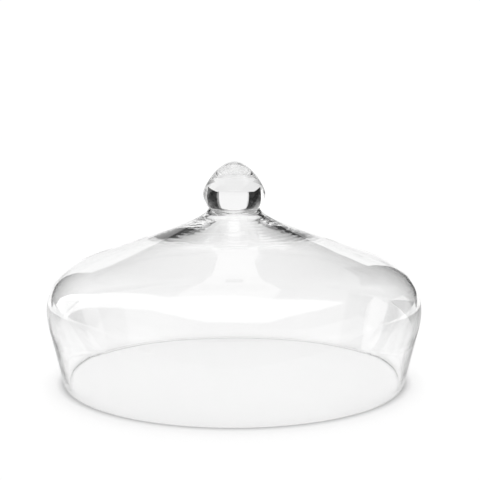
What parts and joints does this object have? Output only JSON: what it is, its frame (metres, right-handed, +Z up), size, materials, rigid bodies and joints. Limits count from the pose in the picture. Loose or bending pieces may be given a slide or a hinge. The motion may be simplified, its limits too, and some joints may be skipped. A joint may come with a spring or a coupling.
{
  "type": "bell jar dome",
  "caption": "Low blown-glass bell jar dome with an outward-leaning skirt, a broad rounded shoulder, a shallow conical crown and a solid pointed glass knob.",
  "frame": {"origin": "centre of the rim, in the plane the bell stands on", "axes": "+Z up along the axis of revolution, towards the knob; X and Y are equal"},
  "size_m": [0.2998, 0.2998, 0.1755],
  "materials": {
    "clear_glass": "fire-polished, clear"
  },
  "bodies": {
    "root": {"bell": "clear_glass", "knob": "clear_glass"}
  },
  "joints": []
}
